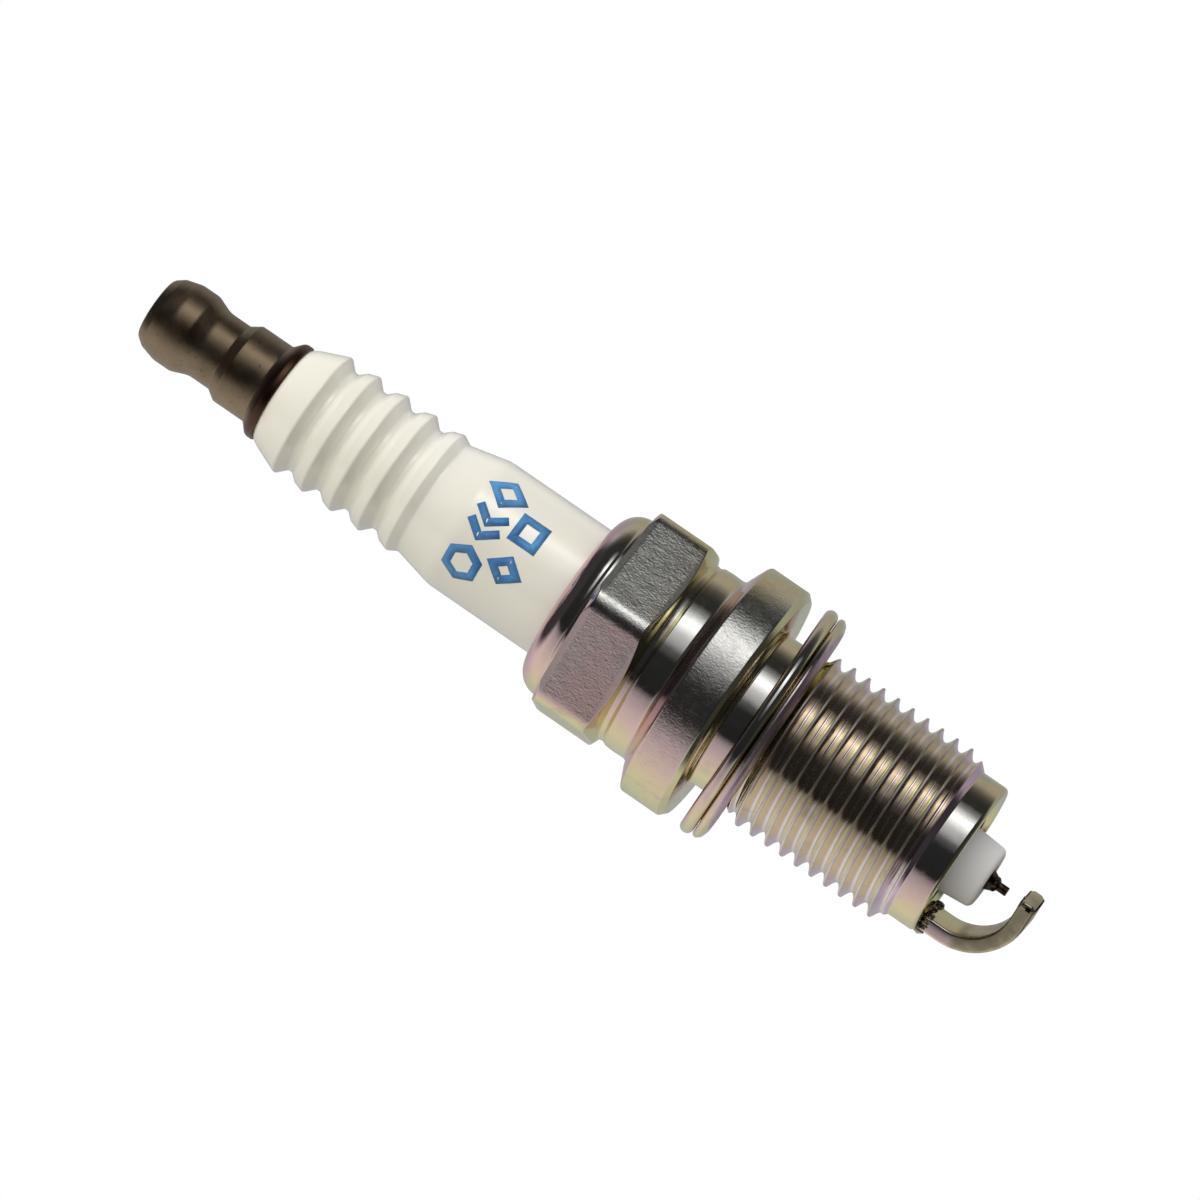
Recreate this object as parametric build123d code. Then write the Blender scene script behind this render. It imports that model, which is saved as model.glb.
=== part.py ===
from build123d import *

import math
import os

# Gasket-seat resistor spark plug: 14 mm thread, 19 mm reach, 16 mm hexagon.
#
# The frame is the plug's own: Z runs along its axis, with the terminal at +Z and the firing
# end at -Z. The origin is on the axis in the plane of the shell's gasket seat, from which both
# the reach and the height of the terminal are measured. Millimetres and degrees throughout.
# The ground electrode is welded on the -X side, and one corner of the hexagon points to +X.

# ---- driving dimensions -------------------------------------------------------------------

FIT_GAP = 0.01  # radial gap between pieces that are pressed or cast into each other

# metal shell, outside
REACH = 19.0
THREAD_R = 6.95
THREAD_PITCH = 1.25
THREAD_ROOT_R = 6.18
THREAD_TOP_Z = -3.3
THREAD_END_Z = -16.85
THREAD_CREST_BEARING = 27.0  # on this bearing a crest stands THREAD_CREST_DROP below the seat
THREAD_CREST_DROP = 3.95
RELIEF_R = 6.2
PILOT_R = 5.98
COLLAR_R = 9.45
COLLAR_T = 4.2
NECK_R = 7.5
HEX_ACROSS_FLATS = 15.88
HEX_CORNER_ROUND = 1.3
HEX_BOTTOM_Z = 7.0
HEX_TOP_Z = 12.05
CRIMP_CENTRE = (5.55, 12.4)  # centre of the rolled lip's arcs, as radius and height
CRIMP_OUTER_ARC = 1.85
CRIMP_INNER_ARC = 0.75
CRIMP_END_R = 5.34

# metal shell, inside
UPPER_BORE_R = 6.3
MIDDLE_BORE_R = 4.72
LEDGE_BORE_R = 3.8
NOSE_BORE_R = 4.4
LEDGE_Z = -4.7
LEDGE_SLOPE = 30.0

# insulator
BARREL_R = 5.22
BARREL_TOP_Z = 23.1
RIB_COUNT = 5
RIB_PITCH = 2.43
TOP_RIB_Z = 36.75
RIB_CREST_R = 4.92
RIB_VALLEY_R = 4.18
INSULATOR_TOP_R = 3.93
INSULATOR_TOP_Z = 39.25
FLANGE_R = 6.2
FLANGE_TOP_Z = 9.4
MIDDLE_R = 4.62
LEG_R = 3.35
NOSE_R = 2.4
NOSE_END_Z = -21.35
STUD_BORE_R = 1.95
CORE_BORE_R = 1.12
CORE_BORE_TOP_Z = -2.6

# terminal
TERMINAL_TOP_Z = 50.2
TERMINAL_HEAD_R = 3.175
TERMINAL_WAIST_R = 2.67
TERMINAL_FLANGE_R = 3.9
STUD_R = 1.85
STUD_END_Z = 11.0

# conductive core of the insulator
SEAL_TOP_Z = 15.0
RESISTOR_TOP_Z = 8.5
RESISTOR_END_Z = 1.0

# centre electrode
CORE_HEAD_R = 1.7
CORE_HEAD_TOP_Z = -0.9
CORE_R = 1.05
COPPER_R = 0.6
TIP_R = 0.34
TIP_END_Z = -22.9
TIP_ROOT_Z = -22.1

# ground electrode
SPARK_GAP = 1.15
STRAP_T = 1.25
STRAP_W = 2.7
STRAP_OUTER_R = 5.72
STRAP_BEND_R = 4.8  # outside of the bend
STRAP_OVERHANG = 0.75  # how far the strap's end reaches past the axis
CHIP_R = 0.5
CHIP_T = 0.3
CHIP_PROUD = 0.07

# captive gasket
GASKET_MID_Z = -2.28
GASKET_LEAN = 4.9
GASKET_LOW_BEARING = -63.0  # the loose gasket leans, with its low side on this bearing
GASKET_FOLD_R = 8.95  # centre of the round fold
SHEET_T = 0.38
TAB_COUNT = 4
TAB_REACH_R = 6.74
TAB_W = 1.4


# ---- helpers ------------------------------------------------------------------------------


def turned(*corners):
    """A solid turned about Z from a closed outline of corners: (radius, height) or
    (radius, height, rounding)."""
    points = [(corner[0], corner[1]) for corner in corners]
    outline = make_face(Plane.XZ * Polyline(*points, close=True))
    for corner in corners:
        if len(corner) == 3:
            at = Vector(corner[0], 0, corner[1])
            vertex = min(outline.vertices(), key=lambda v: (Vector(*v) - at).length)
            outline = fillet(vertex, corner[2])
    return revolve(outline, Axis.Z)


def rod(radius, low, high):
    """A plain round bar on the axis between two heights."""
    return turned((0, low), (radius, low), (radius, high), (0, high))


def wire_ring(radius, height, thickness_r):
    """A ring of round wire about the axis."""
    return Pos(0, 0, height) * Torus(radius, thickness_r)


def tangent_drop(radius_change, slope):
    """Height lost over a change of radius on a cone that slopes this many degrees."""
    return radius_change * math.tan(math.radians(slope))


# ---- metal shell --------------------------------------------------------------------------


def shell_blank():
    """Everything on the shell's outside that is round: pilot, thread root, relief, collar
    and neck."""
    crimp_r = CRIMP_CENTRE[0] + CRIMP_OUTER_ARC
    return turned(
        (0, -REACH),
        (PILOT_R, -REACH, 0.3),
        (PILOT_R, THREAD_END_Z),
        (THREAD_ROOT_R, THREAD_END_Z + THREAD_ROOT_R - PILOT_R),
        (THREAD_ROOT_R, THREAD_TOP_Z - 0.1),
        (RELIEF_R, THREAD_TOP_Z),
        (RELIEF_R, 0, 0.4),
        (COLLAR_R - 0.45, 0, 0.1),
        (COLLAR_R, 0.45, 0.2),
        (COLLAR_R, COLLAR_T - 0.6, 0.3),
        (COLLAR_R - 1.3, COLLAR_T, 0.4),
        (NECK_R, COLLAR_T + 0.25, 0.5),
        (NECK_R, HEX_BOTTOM_Z - 0.75, 0.25),
        (NECK_R - 0.14, HEX_BOTTOM_Z - 0.5, 0.08),
        (NECK_R - 0.14, HEX_BOTTOM_Z - 0.25, 0.08),
        (NECK_R, HEX_BOTTOM_Z),
        (crimp_r, CRIMP_CENTRE[1]),
        (0, CRIMP_CENTRE[1]),
    )


def hexagon():
    """The spanner hexagon, its ends turned back to cones that cut its corners."""
    corner_r = HEX_ACROSS_FLATS / 2 / math.cos(math.radians(30))
    section = RegularPolygon(corner_r, 6)
    section = fillet(section.vertices(), HEX_CORNER_ROUND)
    bar = Pos(0, 0, HEX_BOTTOM_Z) * extrude(section, HEX_TOP_Z - HEX_BOTTOM_Z)
    bottom_r = NECK_R + 0.05
    bottom_rise = tangent_drop(corner_r - bottom_r, 24)
    top_drop = tangent_drop(corner_r - 8.55, 35)
    envelope = turned(
        (0, HEX_BOTTOM_Z),
        (bottom_r, HEX_BOTTOM_Z),
        (corner_r, HEX_BOTTOM_Z + bottom_rise),
        (corner_r, HEX_TOP_Z - top_drop),
        (8.55, HEX_TOP_Z),
        (0, HEX_TOP_Z),
    )
    return bar & envelope


def crimp_lip():
    """The rim of the shell, rolled inwards over the upper packing ring."""
    r, z = CRIMP_CENTRE
    outer = CenterArc((r, z), CRIMP_OUTER_ARC, 0, 90)
    inner = CenterArc((r, z), CRIMP_INNER_ARC, 0, 90)
    over = Line(outer @ 1, (CRIMP_END_R, (outer @ 1).Y))
    under = Line(inner @ 1, (CRIMP_END_R, (inner @ 1).Y))
    ends = [Line(outer @ 0, inner @ 0), Line(over @ 1, under @ 1)]
    section = make_face([Plane.XZ * edge for edge in (outer, inner, over, under, *ends)])
    rim = [v for v in section.vertices() if v.X < CRIMP_END_R + 0.01]
    return revolve(fillet(rim, 0.18), Axis.Z)


def shell_bore():
    """The stepped space inside the shell, with the ledge that the insulator seats on."""
    ledge_end = LEDGE_Z - tangent_drop(MIDDLE_BORE_R - LEDGE_BORE_R, LEDGE_SLOPE)
    return turned(
        (0, -REACH - 1),
        (NOSE_BORE_R + 0.35, -REACH - 1),
        (NOSE_BORE_R + 0.35, -REACH),
        (NOSE_BORE_R, -REACH + 0.35),
        (NOSE_BORE_R, -8.2),
        (LEDGE_BORE_R, -7.2),
        (LEDGE_BORE_R, ledge_end),
        (MIDDLE_BORE_R, LEDGE_Z),
        (MIDDLE_BORE_R, 2.2),
        (UPPER_BORE_R, 3.4),
        (UPPER_BORE_R, CRIMP_CENTRE[1]),
        (0, CRIMP_CENTRE[1]),
    )


def thread_ridge():
    """One right-hand helical ridge with 60 degree flanks and a rounded crest, turned down to
    cones where the thread begins and ends."""
    flank = math.tan(math.radians(30))
    buried = 0.12
    foot_r = THREAD_ROOT_R - buried
    crest_half = THREAD_PITCH / 16
    foot_half = crest_half + (THREAD_R - foot_r) * flank
    outline = Polyline(
        (foot_r, -foot_half),
        (THREAD_R, -crest_half),
        (THREAD_R, crest_half),
        (foot_r, foot_half),
        close=True,
    )
    section = make_face(Plane.XZ * outline)
    crests = [v for v in section.vertices() if v.X > THREAD_R - 0.01]
    section = fillet(crests, 0.06)
    # the sweep starts on a bearing of its own, clear of the seams of the turned surfaces
    seam_bearing = 40.0
    turns = math.ceil((THREAD_TOP_Z - THREAD_END_Z) / THREAD_PITCH) + 2
    first_crest = -THREAD_CREST_DROP - THREAD_PITCH * (THREAD_CREST_BEARING - seam_bearing) / 360
    start = first_crest - THREAD_PITCH * (turns - 1)
    helix = Helix(THREAD_PITCH, THREAD_PITCH * turns, foot_r)
    swept = sweep(section, path=helix, is_frenet=True)
    ridge = Rot(0, 0, seam_bearing) * Pos(0, 0, start) * swept
    over_r = THREAD_R + 0.1
    ends = turned(
        (0, THREAD_END_Z),
        (RELIEF_R, THREAD_END_Z),
        (over_r, THREAD_END_Z + over_r - RELIEF_R),
        (over_r, THREAD_TOP_Z - over_r + RELIEF_R),
        (RELIEF_R, THREAD_TOP_Z),
        (0, THREAD_TOP_Z),
    )
    return ridge & ends


def metal_shell():
    body = shell_blank() + hexagon() + crimp_lip() + thread_ridge()
    return body - shell_bore()


# ---- insulator and what is cast into it ---------------------------------------------------


def rib_corners():
    """The ribs from the lowest up: each is steep on the side towards the shell and slopes
    gently back to the valley above it."""
    corners = []
    for rib in reversed(range(RIB_COUNT)):
        z = TOP_RIB_Z - rib * RIB_PITCH
        lowest = rib == RIB_COUNT - 1
        valley = RIB_VALLEY_R + (0.33 if lowest else 0)
        corners += [(valley, z - 0.86, 0.3), (RIB_CREST_R, z - 0.12, 0.22)]
        if rib:
            corners += [(RIB_CREST_R - 0.26, z + 0.66, 0.4), (RIB_VALLEY_R, z + 1.2, 0.3)]
    return corners


def insulator():
    seat_z = LEDGE_Z + 0.36
    seat_drop = tangent_drop(MIDDLE_R - LEG_R, LEDGE_SLOPE)
    return turned(
        (CORE_BORE_R, NOSE_END_Z, 0.1),
        (NOSE_R, NOSE_END_Z, 0.5),
        (NOSE_R + 0.2, -REACH),
        (LEG_R, seat_z - seat_drop - 1.2),
        (LEG_R, seat_z - seat_drop),
        (MIDDLE_R, seat_z),
        (MIDDLE_R, 2.9, 0.4),
        (FLANGE_R, 4.1, 0.4),
        (FLANGE_R, FLANGE_TOP_Z, 0.3),
        (BARREL_R, FLANGE_TOP_Z),
        (BARREL_R, BARREL_TOP_Z, 4.0),
        *rib_corners(),
        (INSULATOR_TOP_R + 0.15, INSULATOR_TOP_Z - 0.6, 0.5),
        (INSULATOR_TOP_R - 0.2, INSULATOR_TOP_Z, 0.12),
        (STUD_BORE_R, INSULATOR_TOP_Z),
        (STUD_BORE_R, CORE_BORE_TOP_Z + 0.5),
        (CORE_BORE_R, CORE_BORE_TOP_Z),
    )


def terminal():
    """The fixed terminal and the stud below it, one cold-formed piece. Rings rolled into the
    stud's end grip the glass."""
    grips = []
    for ring in range(4):
        z = STUD_END_Z + 0.5 + ring * 0.8
        grips += [(STUD_R, z), (STUD_R - 0.2, z + 0.2), (STUD_R - 0.2, z + 0.4), (STUD_R, z + 0.6)]
    return turned(
        (0, STUD_END_Z),
        (STUD_R - 0.3, STUD_END_Z),
        *grips,
        (STUD_R, INSULATOR_TOP_Z),
        (TERMINAL_FLANGE_R, INSULATOR_TOP_Z, 0.1),
        (TERMINAL_FLANGE_R, INSULATOR_TOP_Z + 0.6, 0.5),
        (TERMINAL_HEAD_R, INSULATOR_TOP_Z + 1.25, 0.3),
        (TERMINAL_HEAD_R, 43.1, 0.25),
        (TERMINAL_WAIST_R, 43.85, 0.3),
        (TERMINAL_WAIST_R, 45.6, 1.6),
        (TERMINAL_HEAD_R, 46.9, 1.0),
        (TERMINAL_HEAD_R, 48.3, 1.5),
        (TERMINAL_HEAD_R - 0.33, TERMINAL_TOP_Z - 0.7, 0.6),
        (TERMINAL_HEAD_R - 0.85, TERMINAL_TOP_Z, 0.5),
        (0, TERMINAL_TOP_Z),
    )


def centre_electrode():
    """The nickel alloy sheath: a head that sits in the insulator's step, a shank, and a
    tapered end that carries the iridium tip. Its copper core is a piece of its own."""
    rim = CORE_BORE_TOP_Z + 0.6 * (CORE_HEAD_R - CORE_R)
    sheath = turned(
        (0, TIP_ROOT_Z),
        (TIP_R + 0.08, TIP_ROOT_Z, 0.05),
        (TIP_R + 0.1, NOSE_END_Z - 0.5, 0.2),
        (0.82, NOSE_END_Z - 0.02, 0.1),
        (CORE_R - FIT_GAP, NOSE_END_Z + 0.3),
        (CORE_R - FIT_GAP, CORE_BORE_TOP_Z),
        (CORE_HEAD_R, rim),
        (CORE_HEAD_R, rim + 0.6, 0.15),
        (1.1, rim + 0.7),
        (1.1, CORE_HEAD_TOP_Z, 0.15),
        (0, CORE_HEAD_TOP_Z),
    )
    return sheath - rod(COPPER_R, -19.6, CORE_BORE_TOP_Z + 0.2)


def copper_core():
    return rod(COPPER_R - FIT_GAP, -19.6 + FIT_GAP, CORE_BORE_TOP_Z + 0.2 - FIT_GAP)


def iridium_tip():
    return turned(
        (0, TIP_END_Z),
        (TIP_R, TIP_END_Z, 0.04),
        (TIP_R, TIP_ROOT_Z),
        (0, TIP_ROOT_Z),
    )


def resistor():
    return rod(STUD_BORE_R - FIT_GAP, RESISTOR_END_Z, RESISTOR_TOP_Z)


def upper_glass_seal():
    return rod(STUD_BORE_R - FIT_GAP, RESISTOR_TOP_Z, SEAL_TOP_Z) - terminal()


def lower_glass_seal():
    low = CORE_BORE_TOP_Z + 0.8
    return rod(STUD_BORE_R - FIT_GAP, low, RESISTOR_END_Z) - centre_electrode()


# ---- seals between insulator and shell ----------------------------------------------------


def packing_washer():
    """The sheet washer between the insulator's shoulder and the shell's ledge."""
    inner, outer = LEDGE_BORE_R + 0.05, MIDDLE_R - 0.05
    low = LEDGE_Z + 0.005 - tangent_drop(MIDDLE_BORE_R - outer, LEDGE_SLOPE)
    drop = tangent_drop(outer - inner, LEDGE_SLOPE)
    t = 0.28
    return turned((inner, low - drop), (outer, low), (outer, low + t), (inner, low - drop + t))


def packing_ring(height):
    middle = (UPPER_BORE_R + BARREL_R) / 2
    return wire_ring(middle, height, (UPPER_BORE_R - BARREL_R) / 2 - 0.02)


def lower_packing_ring():
    return packing_ring(FLANGE_TOP_Z + (UPPER_BORE_R - BARREL_R) / 2)


def upper_packing_ring():
    return packing_ring(CRIMP_CENTRE[1] - 0.1)


def talc_seal():
    """Pressed powder that fills the space between the two packing rings."""
    inner, outer = BARREL_R + FIT_GAP, UPPER_BORE_R - FIT_GAP
    low = FLANGE_TOP_Z + UPPER_BORE_R - BARREL_R - 0.3
    high = CRIMP_CENTRE[1] - 0.3
    block = turned((inner, low), (outer, low), (outer, high), (inner, high))
    return block - lower_packing_ring() - upper_packing_ring()


# ---- ground electrode ---------------------------------------------------------------------


def strap_face_z():
    """Height of the strap's inner face, under the tip."""
    return TIP_END_Z - SPARK_GAP - CHIP_PROUD


def strap():
    """The bent strap, in the XZ plane, standing on the shell's end on the -X side."""
    outer_z = strap_face_z() - STRAP_T
    bend_z = outer_z + STRAP_BEND_R
    bend_x = STRAP_BEND_R - STRAP_OUTER_R
    inner_bend = STRAP_BEND_R - STRAP_T
    centre = (bend_x, bend_z)
    outline = [
        Line((-STRAP_OUTER_R, -REACH), (-STRAP_OUTER_R, bend_z)),
        CenterArc(centre, STRAP_BEND_R, 180, 90),
        Line((bend_x, outer_z), (STRAP_OVERHANG, outer_z)),
        Line((STRAP_OVERHANG, outer_z), (STRAP_OVERHANG, outer_z + STRAP_T)),
        Line((STRAP_OVERHANG, outer_z + STRAP_T), (bend_x, outer_z + STRAP_T)),
        CenterArc(centre, inner_bend, 180, 90),
        Line((-STRAP_OUTER_R + STRAP_T, bend_z), (-STRAP_OUTER_R + STRAP_T, -REACH)),
        Line((-STRAP_OUTER_R + STRAP_T, -REACH), (-STRAP_OUTER_R, -REACH)),
    ]
    side = make_face([Plane.XZ * edge for edge in outline])
    bar = extrude(side, STRAP_W / 2, both=True)
    tip_edges = [e for e in bar.edges() if abs(e.center().X - STRAP_OVERHANG) < 0.01]
    low_tip = [e for e in tip_edges if abs(e.center().Z - outer_z) < 0.01]
    bar = fillet(low_tip, 0.4)
    long_edges = [
        e
        for e in bar.edges()
        if abs(abs(e.center().Y) - STRAP_W / 2) < 0.01 and e.center().Z < -REACH - 0.05
    ]
    return fillet(long_edges, 0.22)


def chip_pocket(extra=0.0):
    top = strap_face_z() + CHIP_PROUD
    return rod(CHIP_R + extra, top - CHIP_T, top + (1 if extra else 0))


def ground_electrode():
    return strap() - chip_pocket(FIT_GAP / 2)


def platinum_chip():
    top = strap_face_z() + CHIP_PROUD
    return turned((0, top - CHIP_T), (CHIP_R, top - CHIP_T), (CHIP_R, top, 0.03), (0, top))


# ---- captive gasket -----------------------------------------------------------------------


def gasket_section():
    """The folded sheet's middle line, as radius and height about the gasket's mid-plane: two
    rolled edges outside, the upper one round and the lower one flattened."""
    upper_fold = CenterArc((GASKET_FOLD_R, 0.55), 0.32, 90, -180)
    inner_fold = CenterArc((8.05, 0.0), 0.23, 90, 180)
    lower_out = Line((8.05, -0.23), (8.7, -0.23))
    lower_fold = ThreePointArc((8.7, -0.23), (8.92, -0.45), (8.64, -0.64))
    lower_sweep = ThreePointArc((8.64, -0.64), (8.1, -0.74), (7.5, -0.78))
    return [
        Line((7.5, 0.87), (GASKET_FOLD_R, 0.87)),
        upper_fold,
        Line((GASKET_FOLD_R, 0.23), (8.05, 0.23)),
        inner_fold,
        lower_out,
        lower_fold,
        lower_sweep,
    ]


def gasket():
    middle_line = Wire(gasket_section())
    section = Plane.XZ * trace(middle_line, SHEET_T)
    ring = revolve(section, Axis.Z)
    tab_length = 7.7 - TAB_REACH_R
    tab = Pos(TAB_REACH_R + tab_length / 2, 0, 0.87) * Box(tab_length, TAB_W, SHEET_T)
    for number in range(TAB_COUNT):
        ring += Rot(0, 0, 45 + 360 / TAB_COUNT * number) * tab
    lean_axis = Axis((0, 0, 0), Vector(1, 0, 0).rotate(Axis.Z, GASKET_LOW_BEARING + 90))
    return Pos(0, 0, GASKET_MID_Z) * ring.rotate(lean_axis, -GASKET_LEAN)


# ---- write the pieces ---------------------------------------------------------------------

PIECES = {
    "metal_shell": metal_shell,
    "insulator": insulator,
    "terminal": terminal,
    "upper_glass_seal": upper_glass_seal,
    "resistor": resistor,
    "lower_glass_seal": lower_glass_seal,
    "centre_electrode": centre_electrode,
    "centre_electrode_core": copper_core,
    "iridium_tip": iridium_tip,
    "packing_washer": packing_washer,
    "lower_packing_ring": lower_packing_ring,
    "talc_seal": talc_seal,
    "upper_packing_ring": upper_packing_ring,
    "ground_electrode": ground_electrode,
    "platinum_chip": platinum_chip,
    "gasket": gasket,
}

os.makedirs("parts", exist_ok=True)
for name, make in PIECES.items():
    export_step(make(), f"parts/{name}.step")
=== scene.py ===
import math
import random

import bmesh
import bpy
from mathutils import Euler, Matrix, Vector, noise


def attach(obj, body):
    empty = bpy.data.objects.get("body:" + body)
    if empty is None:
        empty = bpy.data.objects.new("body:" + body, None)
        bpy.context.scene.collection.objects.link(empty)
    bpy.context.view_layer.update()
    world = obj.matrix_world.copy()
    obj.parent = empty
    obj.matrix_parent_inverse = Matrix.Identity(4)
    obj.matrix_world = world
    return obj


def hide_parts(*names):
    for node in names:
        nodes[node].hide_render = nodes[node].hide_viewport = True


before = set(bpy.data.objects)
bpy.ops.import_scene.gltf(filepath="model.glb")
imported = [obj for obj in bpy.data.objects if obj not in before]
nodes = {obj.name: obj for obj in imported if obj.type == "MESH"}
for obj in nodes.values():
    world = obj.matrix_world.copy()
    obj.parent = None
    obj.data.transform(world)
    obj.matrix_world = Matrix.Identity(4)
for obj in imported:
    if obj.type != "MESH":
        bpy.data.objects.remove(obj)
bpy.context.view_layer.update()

scene = bpy.context.scene

# Lengths below are millimetres in the CAD frame: Z up the plug's axis, 0 at the gasket seat.
MM = 0.001
TURN = 2 * math.pi
SEGMENTS = 360  # round the axis, a multiple of six so that hexagon corners fall on columns

# where the camera stands, as a bearing in the XY plane; the roll lays the plug across the picture
CAMERA_BEARING = -64.0
CAMERA_ELEVATION = -6.2
PLUG_SLOPE = 34.5
CAMERA_DISTANCE = 700.0
FRAME_WIDTH = 84.3
FRAME_CENTRE = (-9.75, 7.57)  # from the seat's centre to the frame's centre, right and up

# steel shell
REACH = 19.0
THREAD_R, THREAD_ROOT_R, THREAD_PITCH = 6.95, 6.18, 1.25
THREAD_TOP_Z, THREAD_END_Z = -3.3, -16.85
THREAD_CREST_BEARING, THREAD_CREST_Z = 27.0, -3.95
CREST_FLAT, FLANK_HOLLOW = 0.1, 1.8  # the crest's share of half a pitch, and the flank's power
SHEET_OVERLAP = 0.15  # how far the threaded surface runs on past each end of the thread
RELIEF_R, PILOT_R = 6.2, 5.98
COLLAR_R, COLLAR_TOP = 9.45, 4.2
NECK_R = 7.5
HEX_HALF = 7.94
HEX_LOW, HEX_HIGH = 7.0, 12.05
HEX_CORNER_ROUND = 1.6
HEX_FOOT_R, HEX_FOOT_SLOPE = 7.55, 24.0
HEX_SHOULDER_R, HEX_SHOULDER_SLOPE = 8.5, 35.0
LIP_TOP, LIP_INNER_R = 14.25, 5.34
LIP_ARC, LIP_ARC_R, LIP_ARC_Z = 1.85, 5.55, 12.4  # the rolled lip's arc and its centre
BORE_R, BORE_LOW_Z, BORE_TOP_Z = 6.3, 3.4, 12.65
MIDDLE_BORE_R, LEDGE_BORE_R, NOSE_BORE_R = 4.72, 3.8, 4.4
LEDGE_Z = -4.7

# insulator
BARREL_R, BARREL_TOP = 5.22, 23.1
MIDDLE_R, MIDDLE_TOP_Z = 4.62, 2.9
FLANGE_R, FLANGE_LOW_Z, FLANGE_TOP_Z = 6.2, 4.1, 9.4
ELECTRODE_BORE_R = 1.15
RIBS, RIB_PITCH, TOP_RIB_Z = 5, 2.43, 36.75
RIB_R, VALLEY_R = 4.92, 4.18
LAST_VALLEY_FILL = 0.33  # the valley next to the barrel is this much shallower
NECK_TOP_R, NECK_TOP_Z = 3.93, 39.25
NOSE_R, NOSE_Z = 2.4, -21.35
GLAZE_ENDS_Z = -16.0, -15.0

# terminal
HEAD_R, WAIST_R, FOOT_R, TERMINAL_Z = 3.175, 2.67, 3.9, 50.2
STEM_R, STEM_LOW_Z = 1.85, 30.0

# firing end
SHEATH_R = 1.04
TIP_R, TIP_Z, TIP_ROOT_Z = 0.34, -22.9, -22.1
BEAD_LUMP = 0.28  # how uneven the tip's weld bead is, as a share of its radius
SPARK_GAP, CHIP_PROUD = 1.15, 0.07
STRAP_T, STRAP_W = 1.25, 2.7
STRAP_PLATING_ENDS_Z = -21.9, -21.2
STRAP_OUTER_R, STRAP_BEND_R, STRAP_OVERHANG = 5.72, 4.8, 0.75
STRAP_LEAD = 0.02  # the strap's top reaches this far into the shell's end face
# the tip's worn edge, as distances back from the tip and how much smaller the section is there
WORN_END = [(0.5, 0.0), (0.28, 0.04), (0.12, 0.13), (0.03, 0.25), (0.0, 0.38)]
# the weld's crust: beads along each side of the strap's foot, their radii and how far they stray
BEADS_A_SIDE, BEAD_SMALLEST, BEAD_LARGEST, BEAD_STRAY = 12, 0.09, 0.24, 0.12

# gasket
GASKET_Z, GASKET_LEAN, GASKET_LOW_BEARING = -2.28, 4.9, -63.0
GASKET_R, SHEET_T = 9.2, 0.38  # the radius is that of the sheet's middle at the round fold
GASKET_INNER_R, GASKET_FOLD_R = 7.5, 7.82
SHEET_HIGH, SHEET_MIDDLE, SHEET_LOW = 0.87, 0.21, -0.78  # heights of the sheet's passes
TABS, TAB_REACH_R, TAB_W = 4, 6.74, 1.4

# printed figures on the barrel, drawn as strokes on the unrolled barrel with u towards the
# strap's side and v along the axis, about each figure's centre
INK_PROUD, INK_STROKE, INK_STEP = 0.018, 0.62, 0.5
UPPER_ROW_Z, LOWER_ROW_Z = 21.45, 18.58


# ---- mesh helpers -------------------------------------------------------------------------


def soft_corner(before, corner, after, radius, steps):
    """Points of the arc of this radius that rounds a corner between two others."""
    here = Vector(corner)
    back = (Vector(before) - here)
    ahead = (Vector(after) - here)
    if radius <= 0 or back.length < 1e-6 or ahead.length < 1e-6:
        return [here.copy() for _ in range(steps + 1)]
    room = 0.49 * min(back.length, ahead.length)
    back.normalize()
    ahead.normalize()
    half = back.angle(ahead) / 2
    if half > math.radians(89.7):
        return [here.copy() for _ in range(steps + 1)]
    reach = min(radius / math.tan(half), room)
    radius = reach * math.tan(half)
    middle = here + (back + ahead).normalized() * (radius / math.sin(half))
    start, end = here + back * reach - middle, here + ahead * reach - middle
    sweep = math.atan2(start.x * end.y - start.y * end.x, start.dot(end))
    return [middle + Matrix.Rotation(sweep * i / steps, 2) @ start for i in range(steps + 1)]


def outline(corners, closed=False, steps=6):
    """Points through corners given as (x, y) or (x, y, rounding)."""
    points = []
    for i, corner in enumerate(corners):
        ends = not closed and i in (0, len(corners) - 1)
        if len(corner) == 2 or ends:
            points.append(Vector(corner[:2]))
        else:
            before, after = corners[i - 1], corners[(i + 1) % len(corners)]
            points += soft_corner(before[:2], corner[:2], after[:2], corner[2], steps)
    return points


def new_piece(name, mesh_builder, body, material):
    """Links a mesh built in millimetres as a piece that rides on a body."""
    mesh = bpy.data.meshes.new(name)
    mesh_builder.transform(Matrix.Scale(MM, 4))
    bmesh.ops.remove_doubles(mesh_builder, verts=mesh_builder.verts, dist=2e-7)
    bmesh.ops.recalc_face_normals(mesh_builder, faces=mesh_builder.faces)
    mesh_builder.to_mesh(mesh)
    mesh_builder.free()
    mesh.polygons.foreach_set("use_smooth", [True] * len(mesh.polygons))
    piece = bpy.data.objects.new(name, mesh)
    scene.collection.objects.link(piece)
    mesh.materials.append(material)
    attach(piece, body)
    return piece


def weigh_normals(piece):
    """Lets the large faces set the shading, so that narrow rounded edges catch the light."""
    modifier = piece.modifiers.new("normals", "WEIGHTED_NORMAL")
    modifier.weight = 60
    modifier.keep_sharp = True


def revolve(columns, closed_profile=False, mesh_builder=None, segments=SEGMENTS):
    """Faces between neighbouring profiles round the axis. columns gives the (radius, height)
    points of the profile at a bearing in radians."""
    mesh_builder = mesh_builder or bmesh.new()
    rings = []
    for i in range(segments):
        bearing = TURN * i / segments
        c, s = math.cos(bearing), math.sin(bearing)
        rings.append([mesh_builder.verts.new((p[0] * c, p[0] * s, p[1])) for p in columns(bearing)])
    count = len(rings[0])
    for i in range(segments):
        here, there = rings[i], rings[(i + 1) % segments]
        for j in range(count if closed_profile else count - 1):
            k = (j + 1) % count
            mesh_builder.faces.new((here[j], there[j], there[k], here[k]))
    return mesh_builder


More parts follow.
